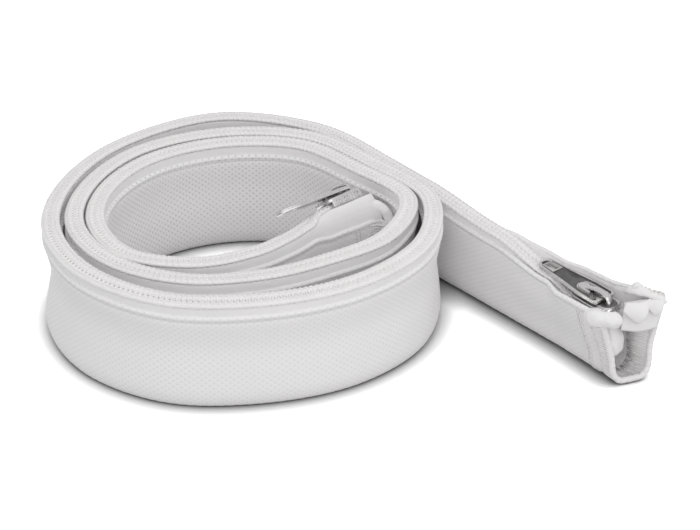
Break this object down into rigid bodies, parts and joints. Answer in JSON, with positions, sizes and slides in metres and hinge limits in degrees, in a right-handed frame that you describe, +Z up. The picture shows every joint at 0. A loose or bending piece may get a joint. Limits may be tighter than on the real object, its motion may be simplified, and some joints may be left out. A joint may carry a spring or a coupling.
{
  "type": "braided zip sleeve",
  "caption": "White braided polyester cable sleeve with a coil zip along its top edge, wound on edge, with one straight tail, hemmed mouths and a metal slider at each end.",
  "frame": {"origin": "centre of the footprint on the floor", "axes": "+X along the straight tail towards its open mouth, +Y away from the coil's centre across the tail, +Z up"},
  "size_m": [0.1594, 0.1194, 0.0352],
  "materials": {
    "braided_cloth": "matt braid",
    "woven_tape": "matt weave",
    "nylon_coil": "satin nylon",
    "nickel": "worn polish",
    "thread": "matt thread"
  },
  "bodies": {
    "sleeve": {"sleeve_fabric": "braided_cloth", "inner_zip_tape": "woven_tape", "outer_zip_tape": "woven_tape", "inner_zip_coil": "nylon_coil", "outer_zip_coil": "nylon_coil", "mouth_slider_body": "nickel", "core_slider_body": "nickel", "mouth_hem_binding": "thread", "core_hem_binding": "thread"},
    "mouth_tab": {"mouth_pull_tab": "nickel"},
    "core_tab": {"core_pull_tab": "nickel"}
  },
  "joints": [
    {"name": "mouth_tab_hinge", "type": "hinge", "parent": "sleeve", "child": "mouth_tab", "pos_m": [0.07001, 0.04701, 0.02475], "axis": [0, 1, 0], "range_deg": [0, 110]},
    {"name": "core_tab_hinge", "type": "hinge", "parent": "sleeve", "child": "core_tab", "pos_m": [-0.01056, 0.02415, 0.03201], "axis": [-0.765, -0.0396, -0.6428], "range_deg": [0, 110]}
  ]
}
